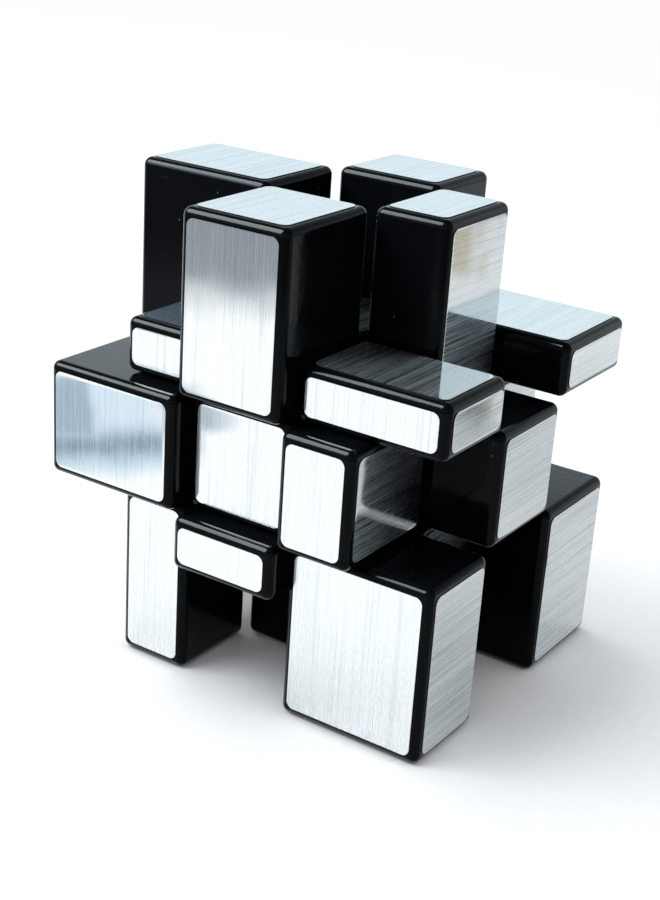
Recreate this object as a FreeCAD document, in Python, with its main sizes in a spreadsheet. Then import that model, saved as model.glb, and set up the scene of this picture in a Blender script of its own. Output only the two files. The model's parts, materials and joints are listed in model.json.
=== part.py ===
import FreeCAD, Part
import os

# Twisty puzzle cube of the uneven-block kind, three layers each way.
# Millimetres, origin at the centre of the core: +X right, +Y back, +Z up.
#
# Every outer block belongs to a corner or edge moulding, or to a centre. A layer is
# everything beyond a cut plane half_slice from the core, plus a collar: the disc of
# collar_radius between foot_plane and the cut plane. Each moulding is its outer block
# joined to a foot that fills its share of those collars, so the feet of the corners
# hook under the edges and the feet of the edges hook under the centres. All of it is
# planes and cylinders about the three axes, so any layer turns freely.

os.makedirs("parts", exist_ok=True)
doc = FreeCAD.newDocument("TwistyCube")
Vector = FreeCAD.Vector

# ---------------------------------------------------------------- dimensions
# alias, value or formula
DIMENSIONS = [
    # layers and feet
    ("half_slice", 9.5),        # cut planes, either side of the core
    ("gap", 0.15),              # each part stands this far back from a cut surface
    ("foot_plane", 5.6),        # inner limit of the feet
    ("collar_radius", 15.6),    # outer limit of the hooks
    ("collar_half", 40.0),      # half length of the cylinders that trim the feet
    ("overcut", 1.0),           # how far a cutter runs past the surface it opens
    # outer blocks; opposite faces of the solved cube are three layers apart
    ("rounding", 1.3),          # on every block edge
    ("cube_width", "=6 * half_slice"),
    ("reach_up", 18.5),         # distances of the six faces from the core
    ("reach_down", "=cube_width - reach_up"),
    ("reach_front", 26.5),
    ("reach_back", "=cube_width - reach_front"),
    ("reach_left", 22.5),
    ("reach_right", "=cube_width - reach_left"),
    # foils
    ("foil_thick", 0.15),
    ("foil_inset", 1.35),       # from the block's sharp edge
    ("foil_corner", 1.2),
    # core
    ("core_radius", 7.5),
    ("core_flat", 6.0),         # flats, measured from the centre
    ("core_hole", 1.3),         # radius
    ("core_hole_half", 10.0),   # half length of the hole cutters
    # centres, as distances from the core
    ("stalk_foot", "=core_flat + gap"),
    ("seat", 8.0),              # spring seat
    ("base_low", 11.0),
    ("base_top", 17.0),         # split between a centre and its cap
    ("bore_radius", 2.75),
    ("shank_hole", 1.6),        # radius
    # caps
    ("cap_wall", 1.7),
    ("room_overcut", 0.1),      # hollow starts this far below the split
    ("boss_radius", "=bore_radius - gap"),
    ("boss_length", 1.4),       # below the split
    ("boss_overlap", 0.6),      # into the plain lid
    # screws
    ("shank_radius", 1.25),
    ("shank_tip", 2.7),
    ("shank_overlap", 0.5),     # into the head
    ("head_low", 12.4),
    ("head_thick", 1.3),
    ("head_radius", 2.45),
    ("head_rounding", 0.5),
    ("recess_width", 0.6),
    ("recess_length", 2.8),
    ("recess_deep", 0.8),
    # springs
    ("spring_mean", 2.1),       # radius of the wire's centre line
    ("spring_wire", 0.27),      # radius of the wire
    ("spring_low", 8.45),
    ("spring_high", 11.95),
    ("spring_pitch", 0.875),
]
sheet = doc.addObject("Spreadsheet::Sheet", "Sheet")
for row, (alias, value) in enumerate(DIMENSIONS, 1):
    sheet.set(f"A{row}", alias)
    sheet.set(f"B{row}", str(value))
    sheet.setAlias(f"B{row}", alias)
doc.recompute()

# direction letter: axis number, sign, word
DIRECTIONS = {
    "U": (2, 1, "up"), "D": (2, -1, "down"),
    "F": (1, -1, "front"), "B": (1, 1, "back"),
    "R": (0, 1, "right"), "L": (0, -1, "left"),
}
OPPOSITE = {"U": "D", "D": "U", "F": "B", "B": "F", "R": "L", "L": "R"}
UNIT = {letter: Vector(*[sign if i == axis else 0 for i in range(3)])
        for letter, (axis, sign, word) in DIRECTIONS.items()}
CORNERS = [z + y + x for z in "UD" for y in "FB" for x in "RL"]
EDGES = "UF UB UR UL DF DB DR DL FR FL BR BL".split()
CENTRES = "UDFBRL"
PLAIN_LID = "U"     # the thinnest face; the other caps are hollow


# ---------------------------------------------------------------- expressions
# In every expression "$" stands for "Sheet."; a span is a (low, high) pair of them.
def bind(obj, prop, text):
    obj.setExpression(prop, text.replace("$", "Sheet."))


def dimension(alias):
    return float(getattr(sheet, alias))


def centred(half):
    """Span to the same distance on both sides of the core."""
    return (f"-({half})", half)


def span(sign, near, far):
    """Span near..far on one side of the core."""
    return (near, far) if sign > 0 else (f"-({far})", f"-({near})")


def reach(letter, swapped):
    """Face distance a block shows towards a direction."""
    return "$reach_" + DIRECTIONS[OPPOSITE[letter] if swapped else letter][2]


MIDDLE = centred("$half_slice - $gap")
STALK = centred("$foot_plane - $gap")


# ---------------------------------------------------------------- modelling helpers
def box(name, spans):
    """Box from one span per axis."""
    result = doc.addObject("Part::Box", name)
    for side, axis, (low, high) in zip(("Length", "Width", "Height"), "xyz", spans):
        bind(result, side, f"({high}) - ({low})")
        bind(result, "Placement.Base." + axis, low)
    return result


def facing(letter):
    """Placement that turns an upright part to a direction."""
    return FreeCAD.Placement(Vector(0, 0, 0), FreeCAD.Rotation(Vector(0, 0, 1), UNIT[letter]))


def cylinder(name, letter, radius, low, high):
    """Cylinder along a direction, between two distances from the core."""
    result = doc.addObject("Part::Cylinder", name)
    bind(result, "Radius", radius)
    bind(result, "Height", f"({high}) - ({low})")
    axis, sign, word = DIRECTIONS[letter]
    result.Placement = facing(letter)
    bind(result, "Placement.Base." + "xyz"[axis], f"{sign} * ({low})")
    return result


def common(name, shapes):
    result = doc.addObject("Part::MultiCommon", name)
    result.Shapes = shapes
    return result


def fuse(name, shapes):
    result = doc.addObject("Part::MultiFuse", name)
    result.Shapes = shapes
    return result


def cut(name, base, tool):
    result = doc.addObject("Part::Cut", name)
    result.Base = base
    result.Tool = tool
    return result


def compound(name, shapes):
    result = doc.addObject("Part::Compound", name)
    result.Links = shapes
    return result


def rounded(name, base, radius, wanted=lambda edge: True):
    """Fillet on the edges that pass the test; radius is an alias."""
    doc.recompute([base])
    size = dimension(radius)
    result = doc.addObject("Part::Fillet", name)
    result.Base = base
    result.Edges = [(number, size, size)
                    for number, edge in enumerate(base.Shape.Edges, 1) if wanted(edge)]
    return result


def along(letter):
    """Test for straight edges parallel to a direction."""
    def test(edge):
        start, end = (vertex.Point for vertex in edge.Vertexes)
        return abs((end - start).normalize().dot(UNIT[letter])) > 0.99
    return test


parts = []


def finish(obj, label):
    obj.Label = label
    parts.append(obj)


# ---------------------------------------------------------------- shared cutters
def undercut(axis, letters):
    """Pair of discs that clears the collars out of the pieces they turn inside."""
    return fuse(f"undercut_{axis}", [
        cylinder(f"undercut_{axis}_{DIRECTIONS[letter][2]}", letter, "$collar_radius + $gap",
                 "$foot_plane - $gap", "$half_slice + $overcut")
        for letter in letters])


# one of each per axis; the collars trim the feet
collars = [cylinder(f"collar_{axis}", letter, "$collar_radius - $gap", *centred("$collar_half"))
           for axis, letter in zip("xyz", "RBU")]
undercuts = [undercut(axis, letters) for axis, letters in zip("xyz", ("RL", "BF", "UD"))]


# ---------------------------------------------------------------- blocks, feet, foils
def title(letters):
    return "_".join(DIRECTIONS[letter][2] for letter in letters)


def block_spans(letters, swapped):
    """Sharp limits of the plastic of an outer block."""
    spans = [MIDDLE] * 3
    for letter in letters:
        axis, sign, word = DIRECTIONS[letter]
        spans[axis] = span(sign, "$half_slice + $gap", reach(letter, swapped) + " - $foil_thick")
    return spans


def outer_block(name, letters, swapped):
    sharp = box(name + "_sharp", block_spans(letters, swapped))
    return rounded(name + "_block", sharp, "rounding")


def foot(name, letters, axes):
    """Box on the inner side of a block, trimmed by the collars about the axes."""
    spans = [STALK] * 3
    for letter in letters:
        axis, sign, word = DIRECTIONS[letter]
        spans[axis] = span(sign, "$foot_plane + $gap", "$collar_radius")
    return common(name + "_foot", [box(name + "_foot_box", spans)] + [collars[a] for a in axes])


def foil(name, letter, spans, far):
    """Thin plate that ends at far, inset from the block's in-plane spans."""
    axis, sign, word = DIRECTIONS[letter]
    limits = [(f"({low}) + $foil_inset", f"({high}) - $foil_inset") for low, high in spans]
    limits[axis] = span(sign, far + " - $foil_thick", far)
    return rounded(name, box(name + "_plate", limits), "foil_corner", along(letter))


def foils(letters, swapped=False):
    """Reflective foils of a piece, one per outer face."""
    place = title(letters)
    spans = block_spans(letters, swapped)
    plates = [foil(f"foil_{place}_{title(letter)}", letter, spans, reach(letter, swapped))
              for letter in letters]
    finish(compound("foils_" + place, plates), "foils_" + place)


# ---------------------------------------------------------------- corners and edges
def corner(letters):
    name = "corner_" + title(letters)
    block = outer_block(name, letters, swapped=False)
    finish(fuse(name, [block, foot(name, letters, range(3))]), name)
    foils(letters)


def edge_piece(letters):
    """Edge, in the place diagonally across the core from its home.

    Its block therefore reaches as far as the opposite faces' distances.
    """
    name = "edge_" + title(letters)
    used = [DIRECTIONS[letter][0] for letter in letters]
    free = 3 - sum(used)
    block = outer_block(name, letters, swapped=True)
    hollowed = cut(name + "_hollowed", block, undercuts[free])
    finish(fuse(name, [hollowed, foot(name, letters, used)]), name)
    foils(letters, swapped=True)


# ---------------------------------------------------------------- centres and caps
# modelled upright, then turned to their face by the placement of the finished part
def centre(letter):
    """Square plate arched over the collars, on a stalk bored for screw and spring."""
    name = "centre_" + title(letter)
    sharp = box(name + "_sharp", [MIDDLE, MIDDLE, ("$base_low", "$base_top")])
    plate = rounded(name + "_plate", sharp, "rounding", along("U"))
    arch = cut(name + "_arch", cut(name + "_arch_x", plate, undercuts[0]), undercuts[1])
    stalk = box(name + "_stalk", [STALK, STALK, ("$stalk_foot", "$base_top")])
    solid = fuse(name + "_solid", [arch, stalk])
    bores = fuse(name + "_bores", [
        cylinder(name + "_wide", "U", "$bore_radius", "$seat", "$base_top + $overcut"),
        cylinder(name + "_narrow", "U", "$shank_hole",
                 "$stalk_foot - $overcut", "$seat + $overcut")])
    result = cut(name, solid, bores)
    result.Placement = facing(letter)
    finish(result, name)


def cap(letter):
    """Plain lid on the thinnest face, hollow box on the others, with a round boss."""
    name = "cap_" + title(letter)
    top = reach(letter, False) + " - $foil_thick"
    sharp = box(name + "_sharp", [MIDDLE, MIDDLE, ("$base_top", top)])
    low = dimension("base_top") + 0.01
    # all edges except the four round the bottom
    body = rounded(name + "_lid", sharp, "rounding",
                   lambda edge: max(vertex.Z for vertex in edge.Vertexes) > low)
    boss_top = "$base_top + $boss_overlap"
    if letter != PLAIN_LID:
        inner = centred("$half_slice - $gap - $cap_wall")
        room = box(name + "_room",
                   [inner, inner, ("$base_top - $room_overcut", top + " - $cap_wall")])
        body = cut(name + "_shell", body, room)
        boss_top = top + " - $cap_wall / 2"
    boss = cylinder(name + "_boss", "U", "$boss_radius", "$base_top - $boss_length", boss_top)
    result = fuse(name, [body, boss])
    result.Placement = facing(letter)
    finish(result, name)


# ---------------------------------------------------------------- core
def core():
    """Ball with six flats and a hole along each axis."""
    ball = doc.addObject("Part::Sphere", "core_ball")
    bind(ball, "Radius", "$core_radius")
    flats = box("core_flats", [centred("$core_flat")] * 3)
    blank = common("core_blank", [ball, flats])
    threads = fuse("core_threads", [
        cylinder(f"core_thread_{axis}", letter, "$core_hole", *centred("$core_hole_half"))
        for axis, letter in zip("xyz", "RBU")])
    finish(cut("core", blank, threads), "core")


# ---------------------------------------------------------------- screws and springs
def screw(letter):
    """Shank and round head with a cross recess."""
    name = "screw_" + title(letter)
    head_top = "$head_low + $head_thick"
    shank = cylinder(name + "_shank", "U", "$shank_radius",
                     "$shank_tip", "$head_low + $shank_overlap")
    disc = cylinder(name + "_disc", "U", "$head_radius", "$head_low", head_top)
    # the level edge near the top of the disc
    rim_low = dimension("head_low") + 0.9
    head = rounded(name + "_head", disc, "head_rounding",
                   lambda edge: edge.BoundBox.ZMin > rim_low and edge.BoundBox.ZLength < 0.01)
    narrow = centred("$recess_width / 2")
    wide = centred("$recess_length / 2")
    depth = (head_top + " - $recess_deep", head_top + " + $overcut")
    cross = fuse(name + "_cross", [
        box(name + "_slot_y", [narrow, wide, depth]),
        box(name + "_slot_x", [wide, narrow, depth])])
    result = cut(name, fuse(name + "_blank", [shank, head]), cross)
    result.Placement = facing(letter)
    return result


def spring_guides():
    """Helix and wire section that all the springs share."""
    helix = doc.addObject("Part::Helix", "spring_line")
    bind(helix, "Radius", "$spring_mean")
    bind(helix, "Pitch", "$spring_pitch")
    bind(helix, "Height", "$spring_high - $spring_low")
    ring = doc.addObject("Part::Circle", "spring_ring")
    bind(ring, "Radius", "$spring_wire")
    ring.Placement = FreeCAD.Placement(Vector(0, 0, 0), FreeCAD.Rotation(Vector(1, 0, 0), 90))
    bind(ring, "Placement.Base.x", "$spring_mean")
    doc.recompute([helix, ring])
    return helix, ring


def spring(letter, helix, ring):
    result = doc.addObject("Part::Sweep", "spring_" + title(letter))
    result.Sections = [ring]
    result.Spine = (helix, ["Edge1"])
    result.Solid = True
    result.Frenet = True
    placement = facing(letter)
    placement.Base = UNIT[letter] * dimension("spring_low")
    result.Placement = placement
    return result


def fixings():
    helix, ring = spring_guides()
    pieces = []
    for letter in CENTRES:
        pieces += [screw(letter), spring(letter, helix, ring)]
    finish(compound("screws_and_springs", pieces), "screws_and_springs")


# ---------------------------------------------------------------- build and export
for letters in CORNERS:
    corner(letters)
for letters in EDGES:
    edge_piece(letters)
for letter in CENTRES:
    centre(letter)
    cap(letter)
    foils(letter)
core()
fixings()

doc.recompute()
faults = [f"{obj.Name} state {obj.State}" for obj in doc.Objects
          if any(word in str(obj.State) for word in ("Invalid", "Error"))]
faults += [f"{part.Label} shape not valid" for part in parts
           if part.Shape.isNull() or not part.Shape.isValid()]
if faults:
    raise RuntimeError("; ".join(faults))
for part in parts:
    part.Shape.exportStep(f"parts/{part.Label}.step")
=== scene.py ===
# Looks for the uneven-block twisty puzzle cube: gloss black mouldings, brushed foils,
# studio floor, lights and camera, around the fixed CAD frame.
# The cube stands on the floor with +Z up; its front is -Y and its right is +X.
# Objects are in metres. Patterns on the pieces and the floor are worked in mm.
import bpy
import json
import math
from mathutils import Matrix, Vector

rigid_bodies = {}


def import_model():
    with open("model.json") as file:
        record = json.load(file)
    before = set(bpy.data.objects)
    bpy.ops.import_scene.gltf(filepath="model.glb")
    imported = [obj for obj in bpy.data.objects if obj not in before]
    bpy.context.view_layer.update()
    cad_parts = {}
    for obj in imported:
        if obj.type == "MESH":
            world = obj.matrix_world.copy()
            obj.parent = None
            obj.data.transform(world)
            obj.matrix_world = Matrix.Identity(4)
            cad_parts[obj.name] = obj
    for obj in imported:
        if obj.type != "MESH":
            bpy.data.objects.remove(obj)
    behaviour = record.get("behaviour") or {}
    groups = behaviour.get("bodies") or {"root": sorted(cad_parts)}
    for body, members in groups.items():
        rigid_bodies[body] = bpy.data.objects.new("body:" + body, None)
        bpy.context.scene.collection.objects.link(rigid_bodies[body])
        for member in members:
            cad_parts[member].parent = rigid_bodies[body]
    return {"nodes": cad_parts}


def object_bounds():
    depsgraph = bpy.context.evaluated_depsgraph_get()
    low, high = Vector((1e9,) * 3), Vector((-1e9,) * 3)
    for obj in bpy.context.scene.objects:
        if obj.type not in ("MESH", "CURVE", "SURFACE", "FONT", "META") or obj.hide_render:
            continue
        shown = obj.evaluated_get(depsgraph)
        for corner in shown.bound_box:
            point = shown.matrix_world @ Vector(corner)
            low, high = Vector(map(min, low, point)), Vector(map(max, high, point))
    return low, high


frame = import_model()
cad_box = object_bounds()
nodes = frame["nodes"]
scene = bpy.context.scene
MM = 0.001
TO_MM = 1000.0
FLOOR_HALF = 6.0            # half the side of the square floor, m

FOIL_SQUARE_ON = 0.99       # least normal component of a face that counts as foil
FOIL_MIN_AREA = 2e-6        # smallest such face, m2
FOIL_RIM = 0.6              # width of the dipping rim of a foil, mm
FOIL_RIM_LEAN = 0.055       # how far the normal leans out at the very rim
FOIL_CUT_DEPTH = 0.03       # below this depth the cut edge shows, mm


# ------------------------------------------------------------------ node helpers
class Tree:
    """A node tree. Any value may be a number, a tuple or a socket to link from;
    colours are given as three numbers."""

    def __init__(self, owner):
        owner.use_nodes = True
        self.tree = owner.node_tree
        self.tree.nodes.clear()

    def put(self, socket, value):
        if isinstance(value, bpy.types.NodeSocket):
            self.tree.links.new(value, socket)
        else:
            socket.default_value = (*value, 1) if socket.type == "RGBA" else value

    def new(self, kind, inputs=None, **settings):
        """A node with its settings, and its inputs by name or index."""
        node = self.tree.nodes.new("ShaderNode" + kind)
        for name, value in settings.items():
            setattr(node, name, value)
        for key, value in (inputs or {}).items():
            self.put(node.inputs[key], value)
        return node

    def math(self, operation, *values, clamp=False):
        return self.new("Math", dict(enumerate(values)), operation=operation,
                        use_clamp=clamp).outputs[0]

    def plus(self, a, b, clamp=False):
        return self.math("ADD", a, b, clamp=clamp)

    def minus(self, a, b):
        return self.math("SUBTRACT", a, b)

    def times(self, total, *factors):
        for factor in factors:
            total = self.math("MULTIPLY", total, factor)
        return total

    def bell(self, squared):
        """Bell curve of a squared distance."""
        return self.math("POWER", 2.718, self.times(squared, -0.5))

    def vec(self, operation, *values):
        return self.new("VectorMath", dict(enumerate(values)), operation=operation).outputs[0]

    def scale(self, vector, factor):
        return self.new("VectorMath", {0: vector, "Scale": factor}, operation="SCALE").outputs[0]

    def transform(self, vector, kind, source, target):
        return self.new("VectorTransform", {0: vector}, vector_type=kind,
                        convert_from=source, convert_to=target).outputs[0]

    def any_mix(self, data_type, index, factor, a, b, blend="MIX"):
        """The Mix node holds a pair of inputs and an output for each data type."""
        return self.new("Mix", {0: factor, 2 + 2 * index: a, 3 + 2 * index: b},
                        data_type=data_type, blend_type=blend).outputs[index]

    def mix(self, factor, a, b):
        return self.any_mix("FLOAT", 0, factor, a, b)

    def mix_vec(self, factor, a, b):
        return self.any_mix("VECTOR", 1, factor, a, b)

    def mix_col(self, factor, a, b, blend="MIX"):
        return self.any_mix("RGBA", 2, factor, a, b, blend)

    def mix_shader(self, factor, a, b):
        return self.new("MixShader", {0: factor, 1: a, 2: b}).outputs[0]

    def noise(self, vector, scale, detail=2.0, rough=0.5):
        return self.new("TexNoise", {"Vector": vector, "Scale": scale, "Detail": detail,
                                     "Roughness": rough}).outputs["Fac"]

    def fit(self, value, low, high, to_low=0.0, to_high=1.0, kind="LINEAR"):
        """Map low..high to to_low..to_high, clamped."""
        return self.new("MapRange", dict(enumerate((value, low, high, to_low, to_high))),
                        interpolation_type=kind, clamp=True).outputs[0]

    def smooth(self, value, low, high, to_low=0.0, to_high=1.0):
        return self.fit(value, low, high, to_low, to_high, "SMOOTHSTEP")

    def xyz(self, x, y, z):
        return self.new("CombineXYZ", {0: x, 1: y, 2: z}).outputs[0]

    def parts(self, vector):
        return self.new("SeparateXYZ", {0: vector}).outputs

    def bump(self, height, strength, distance, normal=None):
        inputs = {"Strength": strength, "Distance": distance, "Height": height}
        if normal is not None:
            inputs["Normal"] = normal
        return self.new("Bump", inputs).outputs[0]

    def principled(self, inputs):
        return self.new("BsdfPrincipled", inputs).outputs[0]

    def finish(self, surface, kind="OutputMaterial"):
        self.new(kind, {"Surface": surface})

    def local_point(self):
        """Position in mm in the piece's own axes, so that the pattern turns with it."""
        return self.scale(self.new("TexCoord").outputs["Object"], TO_MM)

    def seed(self, spread):
        """An offset into the noise that differs from piece to piece."""
        return self.times(self.new("ObjectInfo").outputs["Random"], spread)


# ------------------------------------------------------------------ brushed foil
def measure_foils(foils):
    """Store the middle, half size and face distance of the foil on each axis as
    object properties in mm, so that the material knows how near the rim a point is."""
    mesh = foils.data
    corners = ([], [], [])
    for face in mesh.polygons:
        axis = max(range(3), key=lambda i: abs(face.normal[i]))
        if abs(face.normal[axis]) >= FOIL_SQUARE_ON and face.area >= FOIL_MIN_AREA:
            corners[axis].extend(mesh.vertices[i].co for i in face.vertices)
    for axis, points in enumerate(corners):
        # an axis without foil keeps a half size too large to reach any rim
        middle, half = [0.0] * 3, [1000.0] * 3
        for i, coords in enumerate(zip(*points)):
            low, high = min(coords), max(coords)
            if i == axis:
                middle[i] = TO_MM * max((low, high), key=abs)
            else:
                middle[i] = TO_MM / 2 * (low + high)
                half[i] = TO_MM / 2 * (high - low)
        foils["foil_mid_" + "xyz"[axis]] = middle
        foils["foil_half_" + "xyz"[axis]] = half


def brush_lines(tree, across, along, shift, on_x):
    """The brushing of one face: its mixed lines, its loss of brightness and its height.
    on_x(a, b) gives b on X faces, which carry more and darker lines, and a elsewhere."""

    def streak(over, down, offset, detail=0.0, rough=0.5):
        """Noise at scales per mm over and down the lines, offset to its own slice."""
        place = tree.xyz(tree.times(across, over), tree.times(along, down),
                         tree.plus(shift, offset))
        return tree.noise(place, 1.0, detail, rough)

    hair = streak(over=11.0, down=0.060, offset=0.0)     # hair lines, about 0.1 mm
    fine = streak(over=5.6, down=0.035, offset=5.0)
    bands = streak(over=2.4, down=0.024, offset=11.0)    # broader bands of lines
    wide = streak(over=0.55, down=0.020, offset=23.0, detail=1.0)    # slow change
    dash = streak(over=6.5, down=0.42, offset=61.0, detail=1.0, rough=0.6)   # short breaks
    # a few long deep scratches, with gaps
    deep = tree.smooth(streak(over=5.2, down=0.016, offset=31.0), 0.64, 0.76)
    gaps = streak(over=1.1, down=0.07, offset=47.0, detail=1.0)
    deep = tree.times(deep, tree.smooth(gaps, 0.42, 0.60, to_low=0.15))
    mixed = 0.0
    for lines, weight in ((hair, 0.30), (fine, 0.28), (bands, 0.20), (wide, 0.10), (dash, 0.12)):
        mixed = tree.math("MULTIPLY_ADD", lines, weight, mixed)
    tone = tree.fit(mixed, 0.37, 0.61)
    # thin dark lines about 1 mm apart, each fading in and out along its run
    ridge = streak(over=on_x(1.15, 1.7), down=0.012, offset=71.0)
    ridge = tree.math("ABSOLUTE", tree.minus(ridge, 0.5))
    thin = tree.smooth(ridge, 0.012, on_x(0.055, 0.085), to_low=1.0, to_high=0.0)
    fade = streak(over=1.4, down=0.05, offset=83.0, detail=1.0)
    thin = tree.times(thin, tree.fit(fade, 0.36, 0.62, to_low=0.15))
    loss = tree.times(tree.minus(1.0, tone), on_x(0.14, 0.80))
    loss = tree.plus(loss, tree.times(deep, on_x(0.25, 0.62)))
    loss = tree.plus(loss, tree.times(thin, on_x(0.27, 0.22)), clamp=True)
    raised = tree.plus(tree.times(hair, 0.6), tree.times(fine, 0.4))
    return mixed, loss, tree.minus(raised, tree.times(deep, 0.4))


def brushed_foil(name):
    material = bpy.data.materials.new(name)
    tree = Tree(material)
    point = tree.local_point()
    normal = tree.transform(tree.new("NewGeometry").outputs["True Normal"],
                            "NORMAL", "WORLD", "OBJECT")
    x, y, z = tree.parts(point)
    normal_x, normal_y, normal_z = tree.parts(normal)
    is_x = tree.math("GREATER_THAN", tree.math("ABSOLUTE", normal_x), 0.7)
    is_y = tree.math("GREATER_THAN", tree.math("ABSOLUTE", normal_y), 0.7)

    def on_x(elsewhere, on_x_faces):
        return tree.mix(is_x, elsewhere, on_x_faces)

    def by_axis(mixer, for_x, for_y, for_z):
        return mixer(is_x, mixer(is_y, for_z, for_y), for_x)

    def to_world(vector):
        return tree.transform(vector, "VECTOR", "OBJECT", "WORLD")

    # each face of each piece gets its own stretch of the brushing
    face = tree.plus(tree.times(normal_x, 37.0),
                     tree.plus(tree.times(normal_y, 71.0), tree.times(normal_z, 113.0)))
    shift = tree.plus(tree.seed(91.0), face)
    # X and Z faces are brushed along Y, Y faces along Z
    along = tree.mix(is_y, y, z)
    across = on_x(x, z)
    mixed, loss, height = brush_lines(tree, across, along, shift, on_x)
    base = tree.mix_col(loss, (0.962, 0.968, 0.970), (0.590, 0.612, 0.622))
    haze = tree.noise(tree.vec("ADD", point, tree.xyz(shift, shift, shift)),
                      scale=0.22, detail=3.0, rough=0.6)
    clear_rough = tree.plus(tree.fit(haze, 0.35, 0.65, 0.03, 0.075), tree.times(loss, 0.05))

    # the sheet dips over the last part before its rim
    def measured(stem):
        vectors = [tree.new("Attribute", attribute_type="OBJECT",
                            attribute_name=stem + axis).outputs["Vector"] for axis in "xyz"]
        return by_axis(tree.mix_vec, *vectors)

    from_middle = tree.vec("SUBTRACT", point, measured("foil_mid_"))
    inside = tree.vec("SUBTRACT", measured("foil_half_"), (FOIL_RIM,) * 3)
    dip = tree.vec("SUBTRACT", tree.vec("ABSOLUTE", from_middle), inside)
    dip = tree.vec("MAXIMUM", tree.vec("MULTIPLY", dip, (1 / FOIL_RIM,) * 3), (0, 0, 0))
    dip = tree.vec("MINIMUM", dip, (1, 1, 1))
    dip = tree.vec("MULTIPLY", tree.vec("MULTIPLY", dip, dip), tree.vec("SIGN", from_middle))
    lean = to_world(tree.scale(dip, FOIL_RIM_LEAN))
    dipped = tree.vec("NORMALIZE",
                      tree.vec("ADD", tree.new("NewGeometry").outputs["Normal"], lean))
    # a foil is never quite flat: slow dents in the sheet
    dents = tree.noise(tree.vec("ADD", point, tree.xyz(shift, shift, 0.0)),
                       scale=0.10, detail=1.0, rough=0.4)
    dented = tree.bump(dents, strength=0.14, distance=0.0004, normal=dipped)
    brushed = tree.bump(height, strength=0.08, distance=0.00001, normal=dented)
    crisp = tree.principled({"Base Color": base, "Metallic": 1.0,
                             "Roughness": clear_rough, "Normal": dented})
    # light spreads across the lines, not along them
    tangent = to_world(tree.mix_vec(is_x, (1.0, 0.0, 0.0), (0.0, 0.0, 1.0)))
    broad = tree.principled({
        "Base Color": tree.mix_col(1.0, base, (0.90, 0.97, 1.0), "MULTIPLY"),
        "Metallic": 1.0, "Roughness": 0.56, "Anisotropic": 0.95,
        "Tangent": tangent, "Normal": brushed})
    sheet = tree.mix_shader(tree.fit(mixed, 0.38, 0.62, 0.05, 0.46), crisp, broad)
    # the cut edge of the sheet, below its face, is dull and dark
    below = tree.math("ABSOLUTE", by_axis(tree.mix, *tree.parts(from_middle)))
    cut = tree.principled({"Base Color": (0.020, 0.021, 0.023), "Roughness": 0.45, "IOR": 1.3})
    tree.finish(tree.mix_shader(tree.math("GREATER_THAN", below, FOIL_CUT_DEPTH), sheet, cut))
    return material


# ------------------------------------------------------------------ moulded plastic
def gloss_plastic(name, base, rough_low, rough_high, wear=1.0):
    """Black moulding; wear sets how much its rubbed marks show."""
    material = bpy.data.materials.new(name)
    tree = Tree(material)
    point = tree.local_point()
    seed = tree.seed(57.0)
    place = tree.vec("ADD", point, tree.xyz(seed, tree.times(seed, 1.7), tree.times(seed, 0.6)))
    cloud = tree.noise(place, scale=0.16, detail=3.0, rough=0.6)   # handling, over centimetres
    haze = tree.noise(place, scale=1.1, detail=4.0, rough=0.65)

    def rubbed(stretch, low, high):
        stretched = tree.vec("MULTIPLY", place, stretch)
        return tree.smooth(tree.noise(stretched, scale=1.0, detail=2.0, rough=0.6), low, high)

    # fine rubbed marks in two directions
    marks = tree.math("MAXIMUM", rubbed((0.22, 3.4, 2.1), 0.70, 0.80),
                      rubbed((3.1, 0.25, 2.7), 0.71, 0.81))
    # dust: a small speck in one cell out of five
    cells = tree.new("TexVoronoi", {"Vector": place, "Scale": 0.42, "Randomness": 1.0},
                     feature="F1").outputs
    keep = tree.math("GREATER_THAN", tree.parts(cells["Color"])[0], 0.80)
    size = tree.fit(tree.parts(cells["Color"])[1], 0.0, 1.0, 0.02, 0.055)
    speck = tree.times(keep, tree.math("LESS_THAN", cells["Distance"], size))
    rough = tree.fit(tree.plus(tree.times(cloud, 0.6), tree.times(haze, 0.4)),
                     0.35, 0.65, rough_low, rough_high)
    rough = tree.plus(rough, tree.times(marks, 0.10 * wear))
    rough = tree.plus(rough, tree.times(speck, 0.35), clamp=True)
    worn = (base[0] * 2.2 + 0.01, base[1] * 2.2 + 0.01, base[2] * 2.2 + 0.011)
    colour = tree.mix_col(tree.times(marks, 0.35 * wear), base, worn)
    colour = tree.mix_col(tree.times(speck, 0.55), colour, (0.30, 0.30, 0.31))
    # the slight orange peel of a moulding
    ripple = tree.noise(place, scale=0.75, detail=2.0, rough=0.5)
    normal = tree.bump(ripple, strength=0.25, distance=0.00006)
    normal = tree.bump(tree.times(marks, -1.0), strength=0.12, distance=0.00002, normal=normal)
    # near black when seen straight on, a clear mirror at a glancing angle
    facing = tree.new("LayerWeight", {"Blend": 0.5}).outputs["Facing"]
    tree.finish(tree.principled({
        "Base Color": colour, "Roughness": rough, "IOR": 1.5,
        "Specular IOR Level": tree.smooth(facing, 0.36, 0.66, 0.060, 0.46),
        "Normal": normal}))
    return material


# ------------------------------------------------------------------ screws and springs
def turned_steel(name):
    material = bpy.data.materials.new(name)
    tree = Tree(material)
    point = tree.local_point()
    grain = tree.noise(tree.vec("MULTIPLY", point, (1.0, 1.0, 1.0)),
                       scale=9.0, detail=4.0, rough=0.6)
    patches = tree.noise(point, scale=1.3, detail=2.0, rough=0.5)
    tree.finish(tree.principled({
        "Base Color": tree.mix_col(tree.fit(patches, 0.35, 0.65),
                                   (0.52, 0.52, 0.53), (0.72, 0.71, 0.69)),
        "Metallic": 1.0,
        "Roughness": tree.fit(grain, 0.3, 0.7, 0.22, 0.42),
        "Normal": tree.bump(grain, strength=0.15, distance=0.00002)}))
    return material


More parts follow.
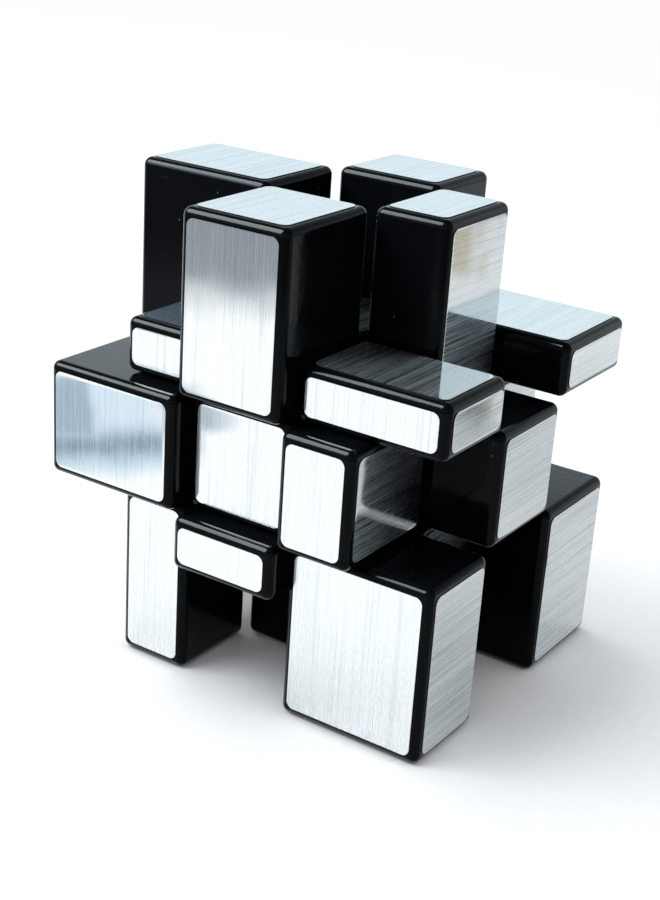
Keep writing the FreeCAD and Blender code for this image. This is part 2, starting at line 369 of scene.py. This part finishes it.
foil = brushed_foil("foil_brushed")
block = gloss_plastic("plastic_block", (0.0011, 0.0013, 0.0017), rough_low=0.08, rough_high=0.14)
inner = gloss_plastic("plastic_inner", (0.003, 0.003, 0.0034), rough_low=0.22,
                      rough_high=0.34, wear=0.4)
steel = turned_steel("steel_turned")
for name, piece in nodes.items():
    if name.startswith("foils"):
        material = foil
        measure_foils(piece)
    elif name == "screws_and_springs":
        material = steel
    elif name == "core" or name.startswith("centre"):
        material = inner
    else:
        material = block
    for slot in piece.material_slots:
        slot.material = material


# ------------------------------------------------------------------ floor
def floor_paper_painted_reflections(name):
    """Pale paper. Mirror surfaces also see painted shades, tints and lines of light on it,
    placed in mm: painted reflections, shown to glossy rays only.
    """
    material = bpy.data.materials.new(name)
    tree = Tree(material)
    coords = tree.new("TexCoord").outputs["Object"]
    x, y, _ = tree.parts(tree.scale(coords, TO_MM))

    def pool(centre_x, centre_y, angle, long, short, depth):
        """Soft oval pool of painted shade, its long axis turned by angle degrees from X."""
        dx = tree.minus(x, centre_x)
        dy = tree.minus(y, centre_y)
        cos, sin = math.cos(math.radians(angle)), math.sin(math.radians(angle))
        u = tree.plus(tree.times(dx, cos / long), tree.times(dy, sin / long))
        v = tree.plus(tree.times(dx, -sin / short), tree.times(dy, cos / short))
        return tree.times(tree.bell(tree.plus(tree.times(u, u), tree.times(v, v))), depth)

    def between(value, rise_from, rise_to, fall_from, fall_to):
        """1 between two soft limits."""
        return tree.times(tree.smooth(value, rise_from, rise_to),
                          tree.smooth(value, fall_from, fall_to, 1.0, 0.0))

    def patch(first, first_limits, second, second_limits, *factors):
        """Soft rectangle on two axes, times any further factors."""
        return tree.times(between(first, *first_limits), between(second, *second_limits),
                          *factors)

    # painted shade, seen only in mirrors: far from the cube, nearer and darker at the front, and
    # a little on the right
    radius = tree.math("SQRT", tree.plus(tree.times(x, x), tree.times(y, y)))
    front = tree.smooth(y, -60.0, 20.0, 1.0, 0.0)
    painted_far_front_shade = tree.times(tree.smooth(radius, 212.0, 272.0, to_high=0.86), front)
    far = tree.math("MAXIMUM", painted_far_front_shade, tree.smooth(radius, 250.0, 420.0, to_high=0.35))
    right = tree.smooth(x, 10.0, 60.0, to_high=0.09)

    # front left, seen only in mirrors: a painted dark band, two painted blocks of shade and a
    # painted blue tint, on the diagonals
    diagonal = tree.plus(x, y)
    cross = tree.minus(y, x)
    offset = tree.times(tree.plus(diagonal, 180.5), 1 / 8.5)
    band = tree.times(tree.bell(tree.times(offset, offset)),
                      tree.smooth(cross, -40.0, -32.0), 0.95)
    painted_left_shade = patch(cross, (-16.5, -12.0, 10.0, 24.0),
                       diagonal, (-247.0, -238.0, -194.0, -184.0), 0.72)
    painted_corner_shade = patch(cross, (-55.0, -41.0, -39.0, -33.0),
                         diagonal, (-240.0, -230.0, -192.0, -178.0), 0.72)
    painted_cool_shade = tree.math("MAXIMUM", band, tree.math("MAXIMUM", painted_left_shade, painted_corner_shade))
    painted_blue_tint = patch(cross, (-38.0, -31.0, 24.0, 34.0),
                 diagonal, (-247.0, -239.0, -166.0, -150.0))

    # back right, seen only in mirrors: axes over and down the straight edge of a painted beige
    # reflection
    edge_x, edge_y = 0.48, 0.877
    over = tree.minus(tree.times(x, edge_y), tree.times(y, edge_x))
    down = tree.plus(tree.times(x, edge_x), tree.times(y, edge_y))
    painted_warm_far = patch(over, (14.3, 16.7, 28.0, 34.0), down, (248.0, 264.0, 335.0, 350.0))
    painted_warm_near = patch(over, (30.2, 32.2, 34.6, 36.6), down, (141.0, 150.0, 175.0, 185.0))
    painted_light_near = patch(over, (27.0, 28.5, 30.4, 31.6), down, (138.0, 146.0, 170.0, 180.0))
    # painted dark pools and a painted grey pool: shade seen only in mirrors, lighter where the
    # painted light near lies
    painted_dark_pool = tree.plus(pool(104.6, 114.6, angle=61.3, long=8.0, short=2.4, depth=0.80),
                     pool(103.0, 106.0, angle=61.3, long=13.0, short=6.0, depth=0.34),
                     clamp=True)
    grey = tree.times(pool(84.0, 98.0, angle=30.0, long=42.0, short=34.0, depth=0.37),
                      tree.minus(1.0, tree.times(painted_light_near, 0.85)))

    # right, towards the back, seen only in mirrors: painted shade on both sides of a painted
    # thin line of light along X
    offset = tree.times(tree.minus(y, 46.0), 1 / 0.42)
    painted_light_line = tree.times(tree.bell(tree.times(offset, offset)),
                        tree.fit(x, 56.0, 66.0, 0.85, 0.5))
    painted_notch_shade = patch(x, (53.0, 54.5, 66.0, 67.5), y, (41.5, 43.0, 50.5, 52.5),
                  tree.minus(1.0, painted_light_line), 0.95)

    grain = tree.noise(coords, scale=900.0, detail=3.0, rough=0.6)
    paper = tree.mix_col(tree.fit(grain, 0.3, 0.7), (0.81, 0.815, 0.82), (0.84, 0.845, 0.85))
    # the painted shades, tints and light above, laid over the paper; mirrors see them, the
    # camera sees plain paper
    shown = paper
    for amount, tint, blend in (
            (1.0, (0.955, 0.962, 0.966), "MULTIPLY"),
            (tree.math("MAXIMUM", far, right), (0.05, 0.07, 0.09), "MIX"),
            (grey, (0.03, 0.035, 0.035), "MIX"),
            (tree.math("MAXIMUM", painted_dark_pool, painted_notch_shade), (0.06, 0.075, 0.08), "MIX"),
            (painted_blue_tint, (0.62, 0.72, 0.82), "MULTIPLY"),
            (painted_cool_shade, (0.08, 0.145, 0.21), "MIX"),
            (painted_warm_far, (0.61, 0.52, 0.33), "MULTIPLY"),
            (painted_warm_near, (0.67, 0.57, 0.34), "MULTIPLY")):
        shown = tree.mix_col(amount, shown, tint, blend)
    rays = tree.new("LightPath").outputs
    sheet = tree.principled({
        "Base Color": tree.mix_col(rays["Is Glossy Ray"], paper, shown),
        "Roughness": 0.8, "Specular IOR Level": 0.2,
        "Normal": tree.bump(grain, strength=0.05, distance=0.0001)})
    # far off, the paper runs up into the white of the backdrop
    away = tree.new("Emission", {"Color": (0.985, 1.0, 1.0)}).outputs[0]
    cove = tree.times(tree.smooth(radius, 200.0, 900.0), rays["Is Camera Ray"])
    tree.finish(tree.mix_shader(cove, sheet, away))
    return material


floor_z = cad_box[0][2]
floor_mesh = bpy.data.meshes.new("floor")
floor_mesh.from_pydata([(x * FLOOR_HALF, y * FLOOR_HALF, floor_z)
                        for x, y in ((-1, -1), (1, -1), (1, 1), (-1, 1))], [], [(0, 1, 2, 3)])
floor = bpy.data.objects.new("floor", floor_mesh)
scene.collection.objects.link(floor)
floor_mesh.materials.append(floor_paper_painted_reflections("floor_paper_painted_reflections"))


# ------------------------------------------------------------------ world
def studio_world(name):
    """White behind; pale blue-grey walls and a dark ceiling in the mirrors."""
    world = bpy.data.worlds.new(name)
    tree = Tree(world)
    x, y, z = tree.parts(tree.new("TexCoord").outputs["Generated"])
    rays = tree.new("LightPath").outputs
    # what the camera sees, from the horizon up
    backdrop = tree.new("ValToRGB", {0: tree.fit(z, -0.05, 0.9)})
    stops = backdrop.color_ramp.elements
    stops.new(0.5)
    for stop, position, colour in zip(stops, (0.0, 0.3, 1.0), (
            (0.99, 1.0, 1.0), (0.95, 0.995, 1.0), (0.88, 0.96, 1.0))):
        stop.position = position
        stop.color = (*colour, 1)
    # what mirrors see: walls front to back, ceiling, right side, upper shade
    mirror = tree.mix_col(tree.fit(y, -1.0, 1.0), (0.72, 0.78, 0.82), (0.83, 0.975, 1.05))
    mirror = tree.mix_col(tree.smooth(z, 0.44, 0.72), mirror, (0.075, 0.09, 0.10))
    mirror = tree.mix_col(tree.fit(x, 0.2, 0.8, to_high=0.25), mirror, (0.2, 0.2, 0.2))
    upper = tree.times(tree.smooth(z, 0.345, 0.395, to_high=0.55),
                       tree.smooth(x, -0.52, -0.42))
    mirror = tree.mix_col(upper, mirror, (0.06, 0.07, 0.08))
    # what lights the other surfaces, from the horizon up
    fill = tree.mix_col(tree.fit(z, 0.0, 0.85), (0.42, 0.43, 0.44), (1.00, 1.02, 1.035))
    unseen = tree.mix_col(rays["Is Glossy Ray"], fill, mirror)
    colour = tree.mix_col(rays["Is Camera Ray"], unseen, backdrop.outputs[0])
    background = tree.new("Background", {"Color": colour, "Strength": 1.0})
    tree.finish(background.outputs[0], "OutputWorld")
    return world


scene.world = studio_world("studio")


# ------------------------------------------------------------------ lights
def light_group(name, pieces):
    group = bpy.data.collections.new(name)
    for piece in pieces:
        group.objects.link(piece)
    return group


def area(name, place, size, power, colour, target=(0, 0, 0), size_y=None, lights=None):
    """Area light aimed at target; lights is the only group that it reaches, if given."""
    lamp = bpy.data.lights.new(name, "AREA")
    lamp.energy = power
    lamp.color = colour
    lamp.size = size
    if size_y:
        lamp.shape = "RECTANGLE"
        lamp.size_y = size_y
    holder = bpy.data.objects.new(name, lamp)
    scene.collection.objects.link(holder)
    holder.location = place
    holder.rotation_euler = (Vector(target) - Vector(place)).to_track_quat("-Z", "Y").to_euler()
    if lights:
        holder.light_linking.receiver_collection = lights
    return holder


foils = [piece for name, piece in nodes.items() if name.startswith("foils")]
bright = [piece for name, piece in nodes.items()
          if name.startswith("foils") or name == "screws_and_springs"]
behind_group = light_group("card_parts", [nodes["edge_up_left"]])
black_group = light_group("black_parts", [p for p in nodes.values() if p not in bright])
foil_group = light_group("foil_parts", foils)
key_group = light_group("key_parts", bright)
floor_group = light_group("floor_parts", [floor])

WARM_WHITE = (1.0, 0.995, 0.98)
area("key", (-0.75, -0.12, 0.60), size=0.90, power=7.2, colour=WARM_WHITE, lights=key_group)
area("high", (-0.60, -0.06, 0.80), size=1.00, power=6.8, colour=WARM_WHITE, lights=floor_group)
over = area("over", (-0.43, -0.43, 0.73), size=0.5, power=3.1, colour=(0.93, 0.975, 1.0))
over.visible_glossy = False
# a softbox high at the front left draws the lines along the rounded edges of the
# blocks; the foils pass it on to the edges but don't show it themselves
softbox = dict(place=(-0.58, -0.465, 0.745), size=0.56, size_y=0.62, colour=(0.86, 0.95, 1.0))
area("window", power=42.0, lights=black_group, **softbox)
again = area("window_again", power=9.5, lights=foil_group, **softbox)
again.data.use_nodes = True
again_tree = again.data.node_tree
emission = next(n for n in again_tree.nodes if n.bl_idname == "ShaderNodeEmission")
path = again_tree.nodes.new("ShaderNodeLightPath")
second = again_tree.nodes.new("ShaderNodeMath")
second.operation = "GREATER_THAN"
second.inputs[1].default_value = 1.5      # lit only from the second bounce on
again_tree.links.new(path.outputs["Ray Depth"], second.inputs[0])
again_tree.links.new(second.outputs[0], emission.inputs["Strength"])
# a wide pale sheet overhead, for foils that are seen from above
area("overhead", (0, 0, 1.0), size=2.2, power=11.5, colour=(0.92, 0.97, 1.0), lights=foil_group)
# a low blue card at the front left, for the edge_up_left block alone
area("card", (-0.63, -0.755, 0.36), target=(0, 0, 0.02), size=0.34, size_y=0.17, power=3.4,
     colour=(0.46, 0.74, 1.0), lights=behind_group)
for thing in scene.objects:
    if thing.type == "LIGHT":
        thing.visible_camera = False

# ------------------------------------------------------------------ camera
# seen from the front, to the right and above; azimuth is measured from -Y
azimuth, elevation, roll = (math.radians(a) for a in (32.675, 21.9969, 3.8287))
back = Vector((math.sin(azimuth) * math.cos(elevation),
               -math.cos(azimuth) * math.cos(elevation), math.sin(elevation)))
level = Vector((math.cos(azimuth), math.sin(azimuth), 0))
upright = back.cross(level)
right = level * math.cos(roll) + upright * math.sin(roll)
up = -level * math.sin(roll) + upright * math.cos(roll)
place = (right * -1.2816 + up * -4.9599 + back * 255.4851) * MM
lens = bpy.data.cameras.new("camera")
lens.sensor_fit = "HORIZONTAL"
lens.sensor_width = 36.0
lens.lens = 86.1796364
lens.clip_start = 0.01
camera = bpy.data.objects.new("camera", lens)
scene.collection.objects.link(camera)
camera.matrix_world = Matrix((*zip(right, up, back, place), (0, 0, 0, 1)))
scene.camera = camera
scene.view_settings.view_transform = "Standard"
